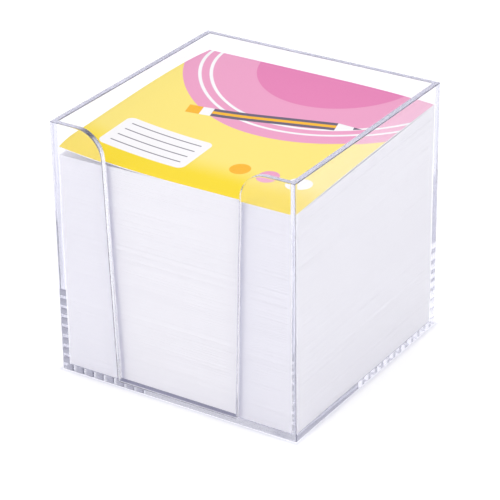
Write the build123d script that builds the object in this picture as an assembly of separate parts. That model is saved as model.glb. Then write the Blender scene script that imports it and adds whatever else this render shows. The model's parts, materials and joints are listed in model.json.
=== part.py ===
from build123d import *
import os

# Memo box: a clear moulded square box, open at the top, with a finger notch in its front wall.
# It holds loose square note sheets under a printed cover card.
# Frame: origin at the middle of the underside, +Z up, the notch faces -Y. Millimetres.

# Paper: the whole pile of square sheets, which lie looser and so higher at the back,
# how many of its top ones are made singly, and the card
sheet_width = 90.0
pile_height = 79.6
pile_rise_to_back = 4.1
sheet_count = 700
sheet_air_gap = 0.0035
loose_sheet_count = 18
card_thickness = 0.3

# Clear box
side_clearance = 0.25
wall_thickness = 2.25
floor_thickness = 2.0
head_room = 11.65
outer_corner_radius = 0.7
inner_corner_radius = 0.4
edge_round = 0.3

# Finger notch, open at the rim and running down to the floor
notch_top_width = 54.0
notch_bottom_width = 47.8
shoulder_radius = 10.0

# Sizes that follow from the ones above
inner_side = sheet_width + 2 * side_clearance
outer_side = inner_side + 2 * wall_thickness
front_pitch = pile_height / sheet_count
back_pitch = (pile_height + pile_rise_to_back) / sheet_count
sheet_thickness = front_pitch - sheet_air_gap
block_sheet_count = sheet_count - loose_sheet_count
pile_bottom = floor_thickness + sheet_air_gap
card_front_top = pile_bottom + pile_height + card_thickness
box_height = card_front_top + head_room

# Rounds are held to a share of the wall, or of the panel beside the notch, that can carry them
most_of_wall = 0.4
most_of_panel = 0.8
rim_round = min(edge_round, most_of_wall * wall_thickness)
panel_width = (outer_side - notch_top_width) / 2
shoulder_round = min(shoulder_radius, most_of_panel * panel_width)

# How near a place an edge has to lie to count as there, and how far a cutter stands past a face
match_slack = rim_round / 10
cut_over = wall_thickness


def rounded_prism(side, corner_radius, bottom, height):
    """A square prism on the Z axis with rounded upright corners."""
    return extrude(Pos(0, 0, bottom) * RectangleRounded(side, side, corner_radius), height)


def notch_cutter():
    """The tapered notch, through the front wall and down to the floor."""
    flare = (notch_top_width - notch_bottom_width) / (box_height - floor_thickness)
    cut_top = box_height + cut_over
    half_bottom = notch_bottom_width / 2
    half_top = (notch_top_width + flare * cut_over) / 2
    outline = make_face(
        Polyline(
            (-half_bottom, floor_thickness),
            (half_bottom, floor_thickness),
            (half_top, cut_top),
            (-half_top, cut_top),
            close=True,
        )
    )
    before_front = Plane.XZ.offset(outer_side / 2 + cut_over)
    return extrude(before_front * outline, -(wall_thickness + 2 * cut_over))


def in_front_wall(edge):
    """True for an edge that lies wholly within the thickness of the front wall."""
    return edge.bounding_box().max.Y < match_slack - inner_side / 2


def is_exposed(edge):
    """True for a sharp outside edge: the underside, the rim, the notch's sides or the sill below it."""
    span = edge.bounding_box().size
    middle = edge.center()
    on_rim_or_base = abs(middle.Z - box_height) < match_slack or abs(middle.Z) < match_slack
    across_front_wall = in_front_wall(edge) and span.X < match_slack
    up_the_notch = span.X > match_slack and span.Z > match_slack
    on_floor_level = abs(middle.Z - floor_thickness) < match_slack
    on_sill = on_floor_level and middle.Y < match_slack - outer_side / 2
    return (on_rim_or_base and not across_front_wall) or up_the_notch or on_sill


def clear_box():
    """Floor, three plain walls, and two front panels with rounded shoulders beside the notch."""
    box = rounded_prism(outer_side, outer_corner_radius, 0, box_height)
    box -= rounded_prism(inner_side, inner_corner_radius, floor_thickness, box_height)
    box -= notch_cutter()
    at_rim = box.edges().filter_by(Axis.Y).group_by(Axis.Z)[-1]
    box = fillet(at_rim.filter_by(in_front_wall), shoulder_round)
    return fillet(box.edges().filter_by(is_exposed), rim_round)


def underside(sheets_below):
    """Heights at the front and at the back of what lies on so many sheets."""
    return pile_bottom + sheets_below * front_pitch, pile_bottom + sheets_below * back_pitch


def pile_layer(first, last, thickness):
    """Square stock from the underside of one layer to the top of another of the given thickness."""
    low_front, low_back = underside(first)
    high_front, high_back = (height + thickness for height in underside(last))
    half = sheet_width / 2
    side = make_face(
        Polyline(
            (-half, low_front),
            (half, low_back),
            (half, high_back),
            (-half, high_front),
            close=True,
        )
    )
    return extrude(Plane.YZ * side, half, both=True)


def pieces():
    """Every piece by name, from the box up through the pile to the card on top."""
    found = {
        "clear_box": clear_box(),
        "sheet_block": pile_layer(0, block_sheet_count - 1, sheet_thickness),
    }
    for number in range(loose_sheet_count):
        layer = block_sheet_count + number
        found[f"loose_sheet_{number + 1:02d}"] = pile_layer(layer, layer, sheet_thickness)
    found["cover_card"] = pile_layer(sheet_count, sheet_count, card_thickness)
    return found


os.makedirs("parts", exist_ok=True)
for name, piece in pieces().items():
    export_step(piece, f"parts/{name}.step")
print(f"outside {outer_side:.2f} x {outer_side:.2f} x {box_height:.2f}, card's front at {card_front_top:.2f}")
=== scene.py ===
import json
import math
import random

import bmesh
import bpy
from mathutils import Matrix, Vector

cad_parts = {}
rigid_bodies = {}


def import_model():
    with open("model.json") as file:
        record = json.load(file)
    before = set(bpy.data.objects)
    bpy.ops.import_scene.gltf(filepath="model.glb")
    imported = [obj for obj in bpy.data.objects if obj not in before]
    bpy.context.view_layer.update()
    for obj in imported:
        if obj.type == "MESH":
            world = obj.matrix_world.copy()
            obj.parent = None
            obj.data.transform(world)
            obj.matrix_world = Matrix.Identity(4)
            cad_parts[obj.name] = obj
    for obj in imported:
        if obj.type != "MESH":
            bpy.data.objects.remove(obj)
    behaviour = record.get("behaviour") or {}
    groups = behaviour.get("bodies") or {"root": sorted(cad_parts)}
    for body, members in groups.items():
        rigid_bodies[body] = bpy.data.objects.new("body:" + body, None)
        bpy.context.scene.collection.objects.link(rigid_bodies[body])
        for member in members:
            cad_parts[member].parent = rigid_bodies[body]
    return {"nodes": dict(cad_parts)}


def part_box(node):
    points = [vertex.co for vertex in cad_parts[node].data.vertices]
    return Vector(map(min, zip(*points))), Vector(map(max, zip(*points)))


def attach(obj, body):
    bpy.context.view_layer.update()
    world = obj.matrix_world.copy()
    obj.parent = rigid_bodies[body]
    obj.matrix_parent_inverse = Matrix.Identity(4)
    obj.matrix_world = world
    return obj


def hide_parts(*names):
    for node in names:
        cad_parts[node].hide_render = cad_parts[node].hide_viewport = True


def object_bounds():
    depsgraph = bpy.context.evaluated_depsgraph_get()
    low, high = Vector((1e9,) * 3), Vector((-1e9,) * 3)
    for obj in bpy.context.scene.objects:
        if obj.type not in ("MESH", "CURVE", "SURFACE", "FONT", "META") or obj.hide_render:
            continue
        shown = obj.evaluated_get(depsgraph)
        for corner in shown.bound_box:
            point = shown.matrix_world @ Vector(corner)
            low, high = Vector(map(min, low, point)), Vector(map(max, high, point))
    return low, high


# Memo box: a clear moulded box with a finger notch, a pile of loose note sheets and a printed cover card.
# Metres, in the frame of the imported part: origin under the middle of the box, +Z up, the notch faces -Y.

MM = 0.001
SEED = 17

# Pile: how far single sheets stray from the true square, how far and how often the pile sways on its way up,
# and the share, rate and lead of its sway to the front and back against that to the sides
SHEET_STRAY = 0.02 * MM
SHEET_STRAY_MOST = 0.05 * MM
SHEET_TURN = math.radians(0.015)
PILE_SWAY = 0.10 * MM
PILE_SWAYS = 1.3
FORWARD_SWAY = 0.7
FORWARD_RATE = 0.8
FORWARD_LEAD = 0.6

# Paper and board: fibres and clouds per mm, the pitch of the sheets' tones in mm, and screen colours
FIBRES_PER_MM = 6.0
CLOUDS_PER_MM = 0.08
BOARD_FIBRES_PER_MM = 9.0
LAYER_PITCH = 0.1135
FIBRE_DEPTH = 0.02 * MM
PAPER_TONES = ((237, 235, 240), (242, 241, 245))
BOARD_TONES = ((236, 233, 236), (248, 247, 250))

# Clear plastic: its waves and marks of handling per mm, how deep the waves are, how much handling dulls it,
# the tint that light takes on inside it, and what its faces pass to the things behind them
PLASTIC_IOR = 1.57
PLASTIC_COLOUR = (0.99, 0.99, 1.0, 1.0)
WAVES_PER_MM = 0.06
WAVE_STRENGTH = 0.06
WAVE_DEPTH = 0.4 * MM
HANDLING_PER_MM = 0.35
HANDLING_ROUGHNESS = 0.03
PLASTIC_TINT = (0.50, 0.50, 0.72, 1.0)
PLASTIC_TINT_DENSITY = 3.8
FACE_PASSES = (0.97, 0.97, 0.98, 1.0)

# Rim and sides of the notch, which are duller and pass less: how squarely such a face looks along an axis,
# and how far it lies past the faces of the pile, in mm
EDGE_FACING = 0.7
EDGE_MARGIN = 0.1
EDGE_ROUGHNESS = 0.2
EDGE_PASSES = (0.26, 0.26, 0.42, 1.0)

# Cover card: its left side curls up, most of all in the middle and less along the front edge,
# its back edge stands off the pile, and so does the middle of its right edge a little
CARD_EDGE_ROUND = 0.04 * MM
CARD_CELLS = 60
CARD_CURL = 3.8 * MM
CARD_CURL_REACH = 45 * MM
CARD_FRONT_DROP = 0.3
CARD_FRONT_REACH = 8 * MM
CARD_BACK_LIFT = 1.3 * MM
CARD_RIGHT_LIFT = 0.5 * MM
CARD_SHARP = math.radians(25)

# Print on the card, in mm from its middle: where the yellow deepens, a dome with rings and a core,
# a ruled panel with its lines, a row of dots, and a pencil, whose parts start at places along its own axis
PRINT_MOTTLE_PER_MM = 1.4
PRINT_SOFT_EDGE = 0.06
DEEP_YELLOW_FROM = -24.0
DEEP_YELLOW_TO = -38.0
DOME = (6.0, 52.0)
DOME_RADIUS = 56.0
DOME_RINGS = (50.0, 46.0)
DOME_RING_WIDTH = 1.2
DOME_CORE = 30.0
RULED_MIDDLE = (-20.0, -26.0)
RULED_SIZE = (34.0, 20.0)
RULED_CORNER = 2.5
RULE_COUNT = 4
RULE_FIRST = -19.5
RULE_STEP = 4.2
RULE_LENGTH = 28.0
RULE_WIDTH = 0.5
FIRST_DOT = (14.0, -27.0)
DOT_STEP = 11.0
DOT_RADIUS = 3.6
PENCIL_MIDDLE = (4.0, 8.0)
PENCIL_TURN = math.radians(14)
PENCIL_WIDTH = 5.4
PENCIL_STRIPE = 1.8
PENCIL_CORNER = 0.2
PENCIL_RUBBER = -30.0
PENCIL_BAND = -25.0
PENCIL_SHAFT = -21.0
PENCIL_WOOD = 23.0
PENCIL_LEAD = 29.0
PENCIL_TIP = 32.0
PENCIL_SLOPE = 0.3

# Camera that took the photograph: it looks at a point near the middle of the box
PHOTO_PIXELS = 500
FOCAL_PIXELS = 2315.27
SENSOR_WIDTH = 36.0
VIEW_AZIMUTH = math.radians(32.838)
VIEW_ELEVATION = math.radians(26.914)
VIEW_ROLL = math.radians(-0.84)
VIEW_DISTANCE = 795.165 * MM
AIM_HEIGHT = 48.1 * MM
AIM_RIGHT = 0.073 * MM
AIM_UP = -9.144 * MM
CLIP_NEAR = 10 * MM
CLIP_FAR = 100.0

# Table: a round sheet just below the box. Its tone and its glow go by the distance from the box's outline
# in mm, negative under the box: painted light under the walls, a painted dark ring of shade below the pile's
# edge, and painted shade just outside.
FLOOR_RADIUS = 30.0
FLOOR_CORNERS = 96
FLOOR_DROP = 0.02 * MM
# Tone of the table, with a painted dark ring of shade below the pile's edge
FLOOR_TONES_PAINTED_SHADE = (
    (-5.0, (0.55, 0.55, 0.56, 1.0)),
    (-4.0, (0.08, 0.08, 0.12, 1.0)),
    (-1.9, (0.08, 0.08, 0.12, 1.0)),
    (-1.1, (0.55, 0.55, 0.56, 1.0)),
)
# Glow of the table, with painted shade below the pile's edge, painted light under the walls and painted
# shade just outside the foot
FLOOR_GLOWS_PAINTED_LIGHT_AND_SHADE = (
    (-5.0, (0.60, 0.60, 0.60, 1.0)),
    (-4.0, (0.15, 0.15, 0.22, 1.0)),
    (-1.9, (0.15, 0.15, 0.22, 1.0)),
    (-1.3, (0.94, 0.94, 0.96, 1.0)),
    (-0.3, (0.94, 0.94, 0.96, 1.0)),
    (0.1, (0.32, 0.32, 0.36, 1.0)),
    (2.2, (0.54, 0.54, 0.54, 1.0)),
)

# Glow far off, reached between two distances in mm, and a painted strip of light on the table close to the
# left wall: its middle, half its length and the stretch over which it ends
FLOOR_FAR_FROM = 150.0
FLOOR_FAR_TO = 600.0
FLOOR_FAR_GLOW = (0.74, 0.74, 0.74, 1.0)
LIT_STRIP_MIDDLE = -6.0
LIT_STRIP_HALF = 12.0
LIT_STRIP_END = 3.0
LIT_STRIP_GLOW = (1.0, 1.0, 1.02, 1.0)

# Painted shadow on the table to the left of the box: how far its front border runs back for each mm
# outwards, how wide its borders are at the box and for each mm away from it, and in mm where it fades and
# ends
SHADE_LEAN = 1.3
SHADE_FRONT_START = 6.0
SHADE_FRONT_SOFT = 0.4
SHADE_BACK_START = 1.0
SHADE_BACK_SOFT = 0.5
SHADE_FADES = 60.0
SHADE_LEFT_END = 170.0
SHADE_BACK_END = 180.0
SHADE_GLOW = (0.14, 0.14, 0.18, 1.0)

# Studio: its colour all round, then patches over it, each with the cosines at which it starts and is full.
# Behind the box, at an azimuth to the left of straight back, a bright panel stands in a darker surround.
STUDIO_ROUND = (1.0, 1.0, 1.01, 1.0)
STUDIO_ABOVE = ((0.1, 0.5), (0.72, 0.72, 0.75, 1.0))
STUDIO_RIGHT_BEHIND = ((0.7, 0.95), (0.50, 0.50, 0.57, 1.0))
STUDIO_AT_CAMERA = ((0.1, 0.75), (0.06, 0.06, 0.10, 1.0))
STUDIO_LEFT_FRONT = ((0.86, 0.94), (1.25, 1.25, 1.26, 1.0))
STUDIO_SURROUND = ((0.964, 0.968), (0.55, 0.55, 0.61, 1.0))
STUDIO_PANEL = ((0.9755, 0.9785), (1.25, 1.25, 1.26, 1.0))
PANEL_AZIMUTH = math.radians(15)
PANEL_ELEVATION = math.radians(28)

# Lamps, all aimed at one point: name, place and width in metres, watts and colour
LAMP_AIM = (0, 0, 0.05)
LAMPS = (
    ("overhead", (0.0, 0.1, 0.9), 0.9, 4.4, (1.0, 1.0, 1.0)),
    ("left_front", (-0.42, -0.88, 0.55), 0.8, 3.6, (1.0, 1.0, 1.0)),
    ("right_side", (1.0, 0.2, 0.55), 0.7, 4.0, (1.0, 1.0, 0.92)),
)
WALL_BOUNCES = 128


def clear_startup_scene():
    """Takes away the cube, lamp and camera of a new file."""
    for thing in list(bpy.data.objects):
        bpy.data.objects.remove(thing)


# Node helpers

class Shader:
    """A new material whose nodes are written as short expressions."""

    def __init__(self, name):
        self.material = bpy.data.materials.new(name)
        self.material.use_nodes = True
        self.tree = self.material.node_tree
        self.tree.nodes.clear()
        self.output = self.node("ShaderNodeOutputMaterial")

    def node(self, kind, **settings):
        made = self.tree.nodes.new(kind)
        for key, value in settings.items():
            setattr(made, key, value)
        return made

    def feed(self, socket, value):
        """Links a socket, or sets a constant on it."""
        if isinstance(value, bpy.types.NodeSocket):
            self.tree.links.new(value, socket)
        else:
            socket.default_value = value

    def math(self, operation, *values, clamp=False):
        made = self.node("ShaderNodeMath", operation=operation, use_clamp=clamp)
        for socket, value in zip(made.inputs, values):
            self.feed(socket, value)
        return made.outputs[0]

    def place(self):
        """The place on the piece, in millimetres, as three sockets."""
        coordinates = self.node("ShaderNodeTexCoord").outputs["Object"]
        scaled = self.node("ShaderNodeVectorMath", operation="SCALE")
        self.feed(scaled.inputs[0], coordinates)
        self.feed(scaled.inputs["Scale"], 1 / MM)
        split = self.node("ShaderNodeSeparateXYZ")
        self.feed(split.inputs[0], scaled.outputs[0])
        return scaled.outputs[0], split.outputs

    def noise(self, vector, scale, detail=2.0, roughness=0.5):
        made = self.node("ShaderNodeTexNoise")
        self.feed(made.inputs["Vector"], vector)
        self.feed(made.inputs["Scale"], scale)
        self.feed(made.inputs["Detail"], detail)
        self.feed(made.inputs["Roughness"], roughness)
        return made.outputs[0]

    def span(self, value, low, high, to_low=0.0, to_high=1.0, smooth=False):
        made = self.node("ShaderNodeMapRange", interpolation_type="SMOOTHSTEP" if smooth else "LINEAR")
        for socket, number in zip(made.inputs, (value, low, high, to_low, to_high)):
            self.feed(socket, number)
        return made.outputs[0]

    def mix(self, share, first, second):
        made = self.node("ShaderNodeMix", data_type="RGBA")
        for socket, value in zip((made.inputs[0], made.inputs[6], made.inputs[7]), (share, first, second)):
            self.feed(socket, value)
        return made.outputs[2]

    def ramp(self, value, stops):
        """A colour that runs through stops, each a value and the colour there."""
        made = self.node("ShaderNodeValToRGB")
        first, last = stops[0][0], stops[-1][0]
        points = made.color_ramp.elements
        while len(points) < len(stops):
            points.new(0.5)
        for point, (at, tint) in zip(points, stops):
            point.position = (at - first) / (last - first)
            point.color = tint
        self.feed(made.inputs[0], self.span(value, first, last))
        return made.outputs[0]

    def bump(self, height, strength, distance):
        made = self.node("ShaderNodeBump")
        self.feed(made.inputs["Height"], height)
        self.feed(made.inputs["Strength"], strength)
        self.feed(made.inputs["Distance"], distance)
        return made.outputs[0]

    def principled(self, **values):
        made = self.node("ShaderNodeBsdfPrincipled")
        for name, value in values.items():
            self.feed(made.inputs[name.replace("_", " ")], value)
        return made

    def finish(self, surface, volume=None):
        self.feed(self.output.inputs["Surface"], surface)
        if volume is not None:
            self.feed(self.output.inputs["Volume"], volume)
        return self.material


def colour(red, green, blue):
    """A screen colour, 0 to 255 each, as the linear colour that a socket takes."""
    def linear(value):
        share = value / 255
        return share / 12.92 if share <= 0.04045 else ((share + 0.055) / 1.055) ** 2.4
    return (linear(red), linear(green), linear(blue), 1.0)


# Materials

def edge_face(s):
    """1 on the rim and the sides of the notch, and 0 elsewhere."""
    _, axes = s.place()
    facing = s.node("ShaderNodeSeparateXYZ")
    s.feed(facing.inputs[0], s.node("ShaderNodeNewGeometry").outputs["True Normal"])
    sideways = s.math("GREATER_THAN", s.math("ABSOLUTE", facing.outputs[0]), EDGE_FACING)
    low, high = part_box("sheet_block")
    in_front_wall = s.math("LESS_THAN", axes[1], low.y / MM - EDGE_MARGIN)
    in_notch = s.math("LESS_THAN", s.math("ABSOLUTE", axes[0]), high.x / MM - EDGE_MARGIN)
    notch_side = s.math("MULTIPLY", sideways, s.math("MULTIPLY", in_front_wall, in_notch))
    upward = s.math("GREATER_THAN", facing.outputs[2], EDGE_FACING)
    rim = s.math("MULTIPLY", upward, s.math("GREATER_THAN", axes[2], pile_top / MM))
    return s.math("MAXIMUM", notch_side, rim)


def clear_plastic():
    """Clear moulded polystyrene: polished, faintly wavy, and violet-grey where one looks along a wall."""
    s = Shader("clear_plastic")
    place, _ = s.place()
    waves = s.noise(place, WAVES_PER_MM, detail=1.0)
    handling = s.noise(place, HANDLING_PER_MM, detail=4.0, roughness=0.6)
    edge = edge_face(s)
    dulled = s.span(handling, 0.35, 0.75, 0.0, HANDLING_ROUGHNESS)
    body = s.principled(
        Base_Color=PLASTIC_COLOUR,
        Roughness=s.math("ADD", dulled, s.math("MULTIPLY", edge, EDGE_ROUGHNESS)),
        IOR=PLASTIC_IOR,
        Transmission_Weight=1.0,
        Normal=s.bump(waves, WAVE_STRENGTH, WAVE_DEPTH),
    )
    lamp_light = s.node("ShaderNodeBsdfTransparent")
    s.feed(lamp_light.inputs["Color"], s.mix(edge, FACE_PASSES, EDGE_PASSES))
    path = s.node("ShaderNodeLightPath").outputs
    surface = s.node("ShaderNodeMixShader")
    s.feed(surface.inputs[0], s.math("MAXIMUM", path["Is Shadow Ray"], path["Is Diffuse Ray"]))
    s.feed(surface.inputs[1], body.outputs[0])
    s.feed(surface.inputs[2], lamp_light.outputs[0])
    tint = s.node("ShaderNodeVolumeAbsorption")
    s.feed(tint.inputs["Color"], PLASTIC_TINT)
    s.feed(tint.inputs["Density"], PLASTIC_TINT_DENSITY)
    return s.finish(surface.outputs[0], tint.outputs[0])


def note_paper():
    """Uncoated white paper with a cool brightener, and a slightly different tone from sheet to sheet."""
    s = Shader("note_paper")
    place, axes = s.place()
    fibres = s.noise(place, FIBRES_PER_MM, detail=5.0, roughness=0.7)
    layers = s.node("ShaderNodeTexWhiteNoise", noise_dimensions="1D")
    s.feed(layers.inputs["W"], s.math("FLOOR", s.math("MULTIPLY", axes[2], 1 / LAYER_PITCH)))
    clouds = s.noise(place, CLOUDS_PER_MM, detail=3.0)
    shade = s.math("ADD", s.math("MULTIPLY", layers.outputs[0], 0.4), s.math("MULTIPLY", fibres, 0.6))
    tone = s.math("ADD", s.math("MULTIPLY", shade, 0.7), s.math("MULTIPLY", clouds, 0.3))
    body = s.principled(
        Base_Color=s.mix(tone, *(colour(*screen) for screen in PAPER_TONES)),
        Roughness=s.span(fibres, 0.3, 0.7, 0.78, 0.92),
        Normal=s.bump(fibres, 0.25, FIBRE_DEPTH),
    )
    s.feed(body.inputs["Specular IOR Level"], 0.25)
    return s.finish(body.outputs[0])


def board_edge():
    """The white cut edge and underside of the cover card."""
    s = Shader("board_edge")
    place, _ = s.place()
    fibres = s.noise(place, BOARD_FIBRES_PER_MM, detail=4.0, roughness=0.7)
    body = s.principled(
        Base_Color=s.mix(fibres, *(colour(*screen) for screen in BOARD_TONES)),
        Roughness=0.85,
        Normal=s.bump(fibres, 0.3, FIBRE_DEPTH),
    )
    s.feed(body.inputs["Specular IOR Level"], 0.25)
    return s.finish(body.outputs[0])


def card_print():
    """A generic print: a pencil over a pink dome with white rings on yellow, a ruled panel and dots."""
    s = Shader("card_print")
    place, (across, along, _) = s.place()

    def inside(distance):
        """1 where a distance, in millimetres, is below zero, with a hair of soft edge."""
        return s.span(distance, PRINT_SOFT_EDGE, -PRINT_SOFT_EDGE)

    def from_point(x, y):
        """Distance from a point on the card."""
        dx = s.math("SUBTRACT", across, x)
        dy = s.math("SUBTRACT", along, y)
        return s.math("SQRT", s.math("ADD", s.math("MULTIPLY", dx, dx), s.math("MULTIPLY", dy, dy)))

    def disc(x, y, radius):
        return inside(s.math("SUBTRACT", from_point(x, y), radius))

    def ring(x, y, radius, width):
        away = s.math("ABSOLUTE", s.math("SUBTRACT", from_point(x, y), radius))
        return inside(s.math("SUBTRACT", away, width / 2))

    def turned(x, y, angle):
        """Axes about a point, the first of them turned away from the card's width by an angle."""
        dx = s.math("SUBTRACT", across, x)
        dy = s.math("SUBTRACT", along, y)
        cosine, sine = math.cos(angle), math.sin(angle)
        lengthwise = s.math("ADD", s.math("MULTIPLY", dx, cosine), s.math("MULTIPLY", dy, sine))
        sideways = s.math("SUBTRACT", s.math("MULTIPLY", dy, cosine), s.math("MULTIPLY", dx, sine))
        return lengthwise, sideways

    def panel(x, y, width, depth, corner, axes=(across, along)):
        """A rounded rectangle about a middle point."""
        outs = []
        for axis, middle, size in ((axes[0], x, width), (axes[1], y, depth)):
            away = s.math("ABSOLUTE", s.math("SUBTRACT", axis, middle))
            outs.append(s.math("MAXIMUM", s.math("SUBTRACT", away, size / 2 - corner), 0.0))
        squares = [s.math("MULTIPLY", out, out) for out in outs]
        return inside(s.math("SUBTRACT", s.math("SQRT", s.math("ADD", *squares)), corner))

    pale_yellow = colour(234, 214, 112)
    full_yellow = colour(231, 203, 10)
    pink = colour(220, 148, 182)
    deep_pink = colour(213, 118, 166)
    white = colour(232, 230, 231)
    orange = colour(232, 170, 20)
    ink = colour(92, 84, 104)

    mottle = s.noise(place, PRINT_MOTTLE_PER_MM, detail=6.0, roughness=0.7)
    to_front = s.span(along, DEEP_YELLOW_FROM, DEEP_YELLOW_TO, smooth=True)
    print_colour = s.mix(to_front, pale_yellow, full_yellow)
    print_colour = s.mix(disc(*DOME, DOME_RADIUS), print_colour, pink)
    for radius in DOME_RINGS:
        print_colour = s.mix(ring(*DOME, radius, DOME_RING_WIDTH), print_colour, white)
    print_colour = s.mix(disc(*DOME, DOME_CORE), print_colour, deep_pink)
    print_colour = s.mix(panel(*RULED_MIDDLE, *RULED_SIZE, RULED_CORNER), print_colour, white)
    for number in range(RULE_COUNT):
        line = (RULED_MIDDLE[0], RULE_FIRST - RULE_STEP * number)
        print_colour = s.mix(panel(*line, RULE_LENGTH, RULE_WIDTH, RULE_WIDTH / 2), print_colour, ink)
    for number, tint in enumerate((orange, pink, white)):
        spot = (FIRST_DOT[0] + DOT_STEP * number, FIRST_DOT[1])
        print_colour = s.mix(disc(*spot, DOT_RADIUS), print_colour, tint)
    pencil = turned(*PENCIL_MIDDLE, PENCIL_TURN)
    to_tip = s.math("MULTIPLY", s.math("SUBTRACT", PENCIL_TIP, pencil[0]), PENCIL_SLOPE)
    taper = inside(s.math("SUBTRACT", s.math("ABSOLUTE", pencil[1]), to_tip))
    for start, end, width, tint in (
        (PENCIL_RUBBER, PENCIL_BAND, PENCIL_WIDTH, orange),
        (PENCIL_BAND, PENCIL_SHAFT, PENCIL_WIDTH, white),
        (PENCIL_SHAFT, PENCIL_WOOD, PENCIL_WIDTH, ink),
        (PENCIL_SHAFT, PENCIL_WOOD, PENCIL_STRIPE, orange),
        (PENCIL_WOOD, PENCIL_LEAD, PENCIL_WIDTH, white),
        (PENCIL_LEAD, PENCIL_TIP, PENCIL_WIDTH, ink),
    ):
        part = panel((start + end) / 2, 0.0, end - start, width, PENCIL_CORNER, pencil)
        print_colour = s.mix(s.math("MULTIPLY", part, taper), print_colour, tint)
    worn = s.mix(s.span(mottle, 0.3, 0.8, 0.0, 0.06), print_colour, white)
    body = s.principled(
        Base_Color=worn,
        Roughness=s.span(mottle, 0.3, 0.7, 0.45, 0.6),
        Normal=s.bump(mottle, 0.12, FIBRE_DEPTH),
    )
    s.feed(body.inputs["Specular IOR Level"], 0.2)
    return s.finish(body.outputs[0])


def left_shade(s, across, along):
    """Share of the painted shadow to the left of the box, which starts at its foot and softens away from it.
    """
    outwards = s.math("SUBTRACT", cad_low.x / MM, across)
    past_front = s.math("SUBTRACT", along, cad_low.y / MM)
    past_border = s.math("SUBTRACT", past_front, s.math("MULTIPLY", outwards, SHADE_LEAN))
    past_back = s.math("MAXIMUM", s.math("SUBTRACT", along, cad_high.y / MM), 0.0)
    front_width = s.math("ADD", outwards, SHADE_FRONT_START)
    back_width = s.math("ADD", s.math("MULTIPLY", past_back, SHADE_BACK_SOFT), SHADE_BACK_START)
    shade = s.span(s.math("DIVIDE", past_border, front_width), 0.0, SHADE_FRONT_SOFT, smooth=True)
    for share in (
        s.span(s.math("DIVIDE", outwards, back_width), 0.0, 1.0, smooth=True),
        s.span(outwards, SHADE_LEFT_END, SHADE_FADES, smooth=True),
        s.span(along, SHADE_BACK_END, SHADE_FADES, smooth=True),
    ):
        shade = s.math("MULTIPLY", shade, share)
    return shade


def floor_white():
    """A white table that glows a little, with painted light and shade in its tone and glow by the distance
    from the box.
    """
    s = Shader("floor_white")
    _, (across, along, _) = s.place()
    from_middle = s.math("MAXIMUM", s.math("ABSOLUTE", across), s.math("ABSOLUTE", along))
    from_box = s.math("SUBTRACT", from_middle, cad_high.x / MM)
    beside = s.math("LESS_THAN", across, cad_low.x / MM)
    near = s.math("LESS_THAN", from_box, FLOOR_GLOWS_PAINTED_LIGHT_AND_SHADE[-1][0])
    from_strip = s.math("ABSOLUTE", s.math("SUBTRACT", along, LIT_STRIP_MIDDLE))
    in_strip = s.span(from_strip, LIT_STRIP_HALF + LIT_STRIP_END, LIT_STRIP_HALF)
    lit = s.math("MULTIPLY", in_strip, s.math("MULTIPLY", beside, near))
    # Painted light and shade in the glow: the rings by the distance from the box, the painted shadow to the
    # left and the painted strip of light
    glow = s.mix(left_shade(s, across, along), s.ramp(from_box, FLOOR_GLOWS_PAINTED_LIGHT_AND_SHADE), SHADE_GLOW)
    glow = s.mix(lit, glow, LIT_STRIP_GLOW)
    far_off = s.span(from_box, FLOOR_FAR_FROM, FLOOR_FAR_TO, smooth=True)
    body = s.principled(
        Base_Color=s.ramp(from_box, FLOOR_TONES_PAINTED_SHADE),
        Roughness=1.0,
        Emission_Color=s.mix(far_off, glow, FLOOR_FAR_GLOW),
        Emission_Strength=1.0,
    )
    s.feed(body.inputs["Specular IOR Level"], 0.0)
    return s.finish(body.outputs[0])


# Pieces

def mesh_piece(name, corners, faces, material):
    mesh = bpy.data.meshes.new(name)
    mesh.from_pydata(corners, [], faces)
    mesh.update()
    mesh.materials.append(material)
    piece = bpy.data.objects.new(name, mesh)
    bpy.context.scene.collection.objects.link(piece)
    return piece


def layer_heights(node):
    """Lowest and highest point of a flat piece of the pile at its front edge, and at its back edge."""
    corners = [vertex.co for vertex in frame["nodes"][node].data.vertices]
    edges = []
    for side in (-1, 1):
        heights = [corner.z for corner in corners if corner.y * side > 0]
        edges.append((min(heights), max(heights)))
    return edges


def strayed_sheet(low, high, front, back, draw):
    """Corners and faces of one sheet between its heights at front and back, a little off square."""
    middle = (low + high) / 2
    half = (high - low) / 2
    turn = Matrix.Rotation(draw.gauss(0, SHEET_TURN), 3, "Z")

    def stray():
        return max(-SHEET_STRAY_MOST, min(SHEET_STRAY_MOST, draw.gauss(0, SHEET_STRAY)))

    shift = Vector((stray(), stray(), 0)) + sway_at(front[0])
    corners = []
    for level in (0, 1):
        for x, y in ((-1, -1), (1, -1), (1, 1), (-1, 1)):
            spot = turn @ Vector((x * half.x, y * half.y, 0)) + shift
            height = (front if y < 0 else back)[level]
            corners.append(Vector((middle.x + spot.x, middle.y + spot.y, height)))
    faces = [(3, 2, 1, 0), (4, 5, 6, 7)]
    faces += [(side, (side + 1) % 4, (side + 1) % 4 + 4, side + 4) for side in range(4)]
    return corners, faces


def sway_at(height):
    """How far the pile leans at a height, with none at its foot."""
    angle = 2 * math.pi * PILE_SWAYS * height / pile_top
    forward = math.sin(FORWARD_RATE * angle + FORWARD_LEAD) - math.sin(FORWARD_LEAD)
    return Vector((math.sin(angle), FORWARD_SWAY * forward, 0)) * PILE_SWAY


def stand_for(piece, node):
    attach(piece, node)
    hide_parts(node)


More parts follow.
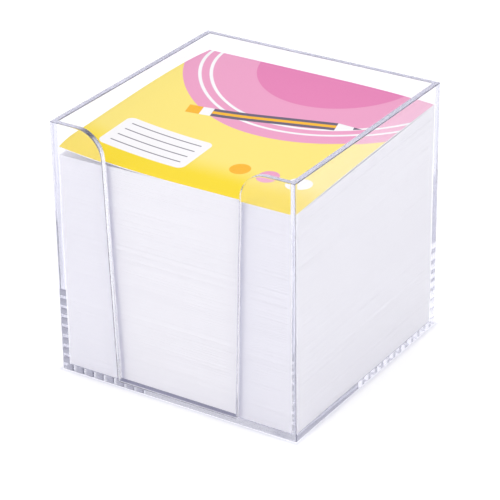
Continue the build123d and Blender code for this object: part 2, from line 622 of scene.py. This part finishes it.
def sheet_pile(material, draw):
    """The lower sheets of the pile, each a sheet of its own, that fan out towards the back."""
    low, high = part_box("sheet_block")
    above_front, above_back = layer_heights("loose_sheet_01")
    next_front, _ = layer_heights("loose_sheet_02")
    thickness = above_front[1] - above_front[0]
    count = round((above_front[0] - low.z) / (next_front[0] - above_front[0]))
    corners, faces = [], []
    for number in range(count):
        front = low.z + (above_front[0] - low.z) * number / count
        back = low.z + (above_back[0] - low.z) * number / count
        edges = (front, front + thickness), (back, back + thickness)
        new_corners, new_faces = strayed_sheet(low, high, *edges, draw)
        faces += [tuple(corner + len(corners) for corner in face) for face in new_faces]
        corners += new_corners
    stand_for(mesh_piece("sheet_pile", corners, faces, material), "sheet_block")


def loose_sheets(material, draw):
    """The upper sheets, which lift one by one."""
    for node in sorted(name for name in frame["nodes"] if name.startswith("loose_sheet_")):
        corners, faces = strayed_sheet(*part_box(node), *layer_heights(node), draw)
        piece = mesh_piece(node.replace("loose_", "note_"), corners, faces, material)
        stand_for(piece, node)


def card_lift(across, back):
    """How far the card stands off its flat place, by the shares of its width and depth."""
    width = (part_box("cover_card")[1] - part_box("cover_card")[0]).x
    curl = CARD_CURL * max(0.0, 1 - across * width / CARD_CURL_REACH) ** 2 * (1 - back ** 4)
    front = 1 - CARD_FRONT_DROP * max(0.0, 1 - back * width / CARD_FRONT_REACH) ** 2
    right = CARD_RIGHT_LIFT * across ** 6 * 4 * back * (1 - back)
    return curl * front + CARD_BACK_LIFT * back ** 2 * (1 - across ** 6) + right


def cover_card(print_material, edge_material):
    """The card on top, printed on its upper face, with softened edges all round."""
    low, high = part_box("cover_card")
    front, back = layer_heights("cover_card")
    thickness = front[1] - front[0]
    inset = CARD_EDGE_ROUND / (high.x - low.x)
    made = bmesh.new()

    def corner(across, along, level):
        """A new corner by its shares of the width and the depth, and its height above the underside."""
        height = front[0] + (back[0] - front[0]) * along + card_lift(across, along) + level
        spot = (low.x + (high.x - low.x) * across, low.y + (high.y - low.y) * along, height)
        return made.verts.new(spot)

    shares = [inset + (1 - 2 * inset) * step / CARD_CELLS for step in range(CARD_CELLS + 1)]
    cells = range(CARD_CELLS)
    sheets = []
    for level in (0.0, thickness):
        sheet = [[corner(across, along, level) for across in shares] for along in shares]
        for row in cells:
            for column in cells:
                near, far = sheet[row], sheet[row + 1]
                loop = (near[column], near[column + 1], far[column + 1], far[column])
                face = made.faces.new(loop if level else loop[::-1])
                face.material_index = 0 if level else 1
        sheets.append(sheet)

    def border(grid):
        """The outermost corners of a grid, once round, seen from above against the clock."""
        rim = grid[0][:-1] + [row[-1] for row in grid[:-1]]
        return rim + grid[-1][:0:-1] + [row[0] for row in grid[:0:-1]]

    def outer(level):
        """A ring of corners on the card's outline at one level of its edge."""
        ends = (0.0, *shares[1:-1], 1.0)
        ring = [(across, 0.0) for across in ends[:-1]] + [(1.0, along) for along in ends[:-1]]
        ring += [(across, 1.0) for across in ends[:0:-1]] + [(0.0, along) for along in ends[:0:-1]]
        return [corner(across, along, level) for across, along in ring]

    edge = [outer(CARD_EDGE_ROUND), outer(thickness - CARD_EDGE_ROUND)]
    rings = [border(sheets[0]), *edge, border(sheets[1])]
    for below, above in zip(rings, rings[1:]):
        for step in range(len(below)):
            after = (step + 1) % len(below)
            made.faces.new((below[step], below[after], above[after], above[step])).material_index = 1
    mesh = bpy.data.meshes.new("printed_card")
    made.to_mesh(mesh)
    made.free()
    mesh.materials.append(print_material)
    mesh.materials.append(edge_material)
    mesh.shade_smooth()
    mesh.set_sharp_from_angle(angle=CARD_SHARP)
    card = bpy.data.objects.new("printed_card", mesh)
    bpy.context.scene.collection.objects.link(card)
    stand_for(card, "cover_card")


def dress_box(material):
    """The moulded box keeps its own mesh."""
    box = frame["nodes"]["clear_box"]
    box.data.materials.clear()
    box.data.materials.append(material)


# Set

def floor(material):
    ring = [2 * math.pi * step / FLOOR_CORNERS for step in range(FLOOR_CORNERS)]
    corners = [(FLOOR_RADIUS * math.cos(angle), FLOOR_RADIUS * math.sin(angle), 0.0) for angle in ring]
    ground = mesh_piece("floor", corners, [tuple(range(FLOOR_CORNERS))], material)
    ground.location.z = -FLOOR_DROP


def soft_light(name, place, size, power, tint):
    """A round soft lamp that lights things without showing as a mirror image in the plastic."""
    lamp = bpy.data.lights.new(name, "AREA")
    lamp.shape = "DISK"
    lamp.size = size
    lamp.energy = power
    lamp.color = tint
    light = bpy.data.objects.new(name, lamp)
    light.location = place
    light.rotation_euler = (Vector(LAMP_AIM) - Vector(place)).to_track_quat("-Z", "Y").to_euler()
    light.visible_transmission = False
    light.visible_glossy = False
    bpy.context.scene.collection.objects.link(light)


def surroundings():
    """A white studio, greyer above and dark at the camera, with patches that the plastic looks at."""
    world = bpy.data.worlds.new("studio")
    world.use_nodes = True
    bpy.context.scene.world = world
    tree = world.node_tree
    direction = tree.nodes.new("ShaderNodeTexCoord").outputs["Generated"]

    def share_along(axis, low, high):
        """0 to 1 as the direction turns towards an axis, between two cosines."""
        along = tree.nodes.new("ShaderNodeVectorMath")
        along.operation = "DOT_PRODUCT"
        along.inputs[1].default_value = axis
        tree.links.new(direction, along.inputs[0])
        share = tree.nodes.new("ShaderNodeMapRange")
        share.interpolation_type = "SMOOTHSTEP"
        for socket, value in zip(share.inputs[1:5], (low, high, 0.0, 1.0)):
            socket.default_value = value
        tree.links.new(along.outputs["Value"], share.inputs[0])
        return share.outputs[0]

    def mixed(share, first, second):
        made = tree.nodes.new("ShaderNodeMix")
        made.data_type = "RGBA"
        tree.links.new(share, made.inputs[0])
        if isinstance(first, bpy.types.NodeSocket):
            tree.links.new(first, made.inputs[6])
        else:
            made.inputs[6].default_value = first
        made.inputs[7].default_value = second
        return made.outputs[2]

    at_camera = view_axes()[2]
    right_behind = Vector((at_camera.x, -at_camera.y, at_camera.z))
    left_front = Vector((-at_camera.x, at_camera.y, at_camera.z))
    to_panel = Vector((
        -math.sin(PANEL_AZIMUTH) * math.cos(PANEL_ELEVATION),
        math.cos(PANEL_AZIMUTH) * math.cos(PANEL_ELEVATION),
        math.sin(PANEL_ELEVATION),
    ))
    sky = STUDIO_ROUND
    for axis, (cosines, tint) in (
        ((0, 0, 1), STUDIO_ABOVE),
        (right_behind, STUDIO_RIGHT_BEHIND),
        (at_camera, STUDIO_AT_CAMERA),
        (left_front, STUDIO_LEFT_FRONT),
        (to_panel, STUDIO_SURROUND),
        (to_panel, STUDIO_PANEL),
    ):
        sky = mixed(share_along(axis, *cosines), sky, tint)
    tree.links.new(sky, tree.nodes["Background"].inputs["Color"])


def view_axes():
    """Right, up and back of the camera in the photograph, in the part's frame."""
    back = Vector((
        math.sin(VIEW_AZIMUTH) * math.cos(VIEW_ELEVATION),
        -math.cos(VIEW_AZIMUTH) * math.cos(VIEW_ELEVATION),
        math.sin(VIEW_ELEVATION),
    ))
    right = Vector((0, 0, 1)).cross(back).normalized()
    up = back.cross(right)
    cosine, sine = math.cos(VIEW_ROLL), math.sin(VIEW_ROLL)
    return cosine * right + sine * up, cosine * up - sine * right, back


def light_paths():
    """Lets light run along inside the clear walls, from one face to the other many times over."""
    paths = bpy.context.scene.cycles
    paths.max_bounces = WALL_BOUNCES
    paths.glossy_bounces = WALL_BOUNCES
    paths.transmission_bounces = WALL_BOUNCES


def camera():
    right, up, back = view_axes()
    aim = Vector((0, 0, AIM_HEIGHT)) + AIM_RIGHT * right + AIM_UP * up
    lens = bpy.data.cameras.new("camera")
    lens.sensor_width = SENSOR_WIDTH
    lens.lens = SENSOR_WIDTH * FOCAL_PIXELS / PHOTO_PIXELS
    lens.clip_start = CLIP_NEAR
    lens.clip_end = CLIP_FAR
    made = bpy.data.objects.new("camera", lens)
    turn = Matrix((right, up, back)).transposed().to_4x4()
    made.matrix_world = Matrix.Translation(aim + VIEW_DISTANCE * back) @ turn
    bpy.context.scene.collection.objects.link(made)
    bpy.context.scene.camera = made


clear_startup_scene()
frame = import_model()
cad_low, cad_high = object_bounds()
pile_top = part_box("cover_card")[1].z

paper = note_paper()
draw = random.Random(SEED)
dress_box(clear_plastic())
sheet_pile(paper, draw)
loose_sheets(paper, draw)
cover_card(card_print(), board_edge())

floor(floor_white())
surroundings()
for lamp in LAMPS:
    soft_light(*lamp)
camera()
light_paths()
bpy.context.scene.view_settings.view_transform = "Standard"
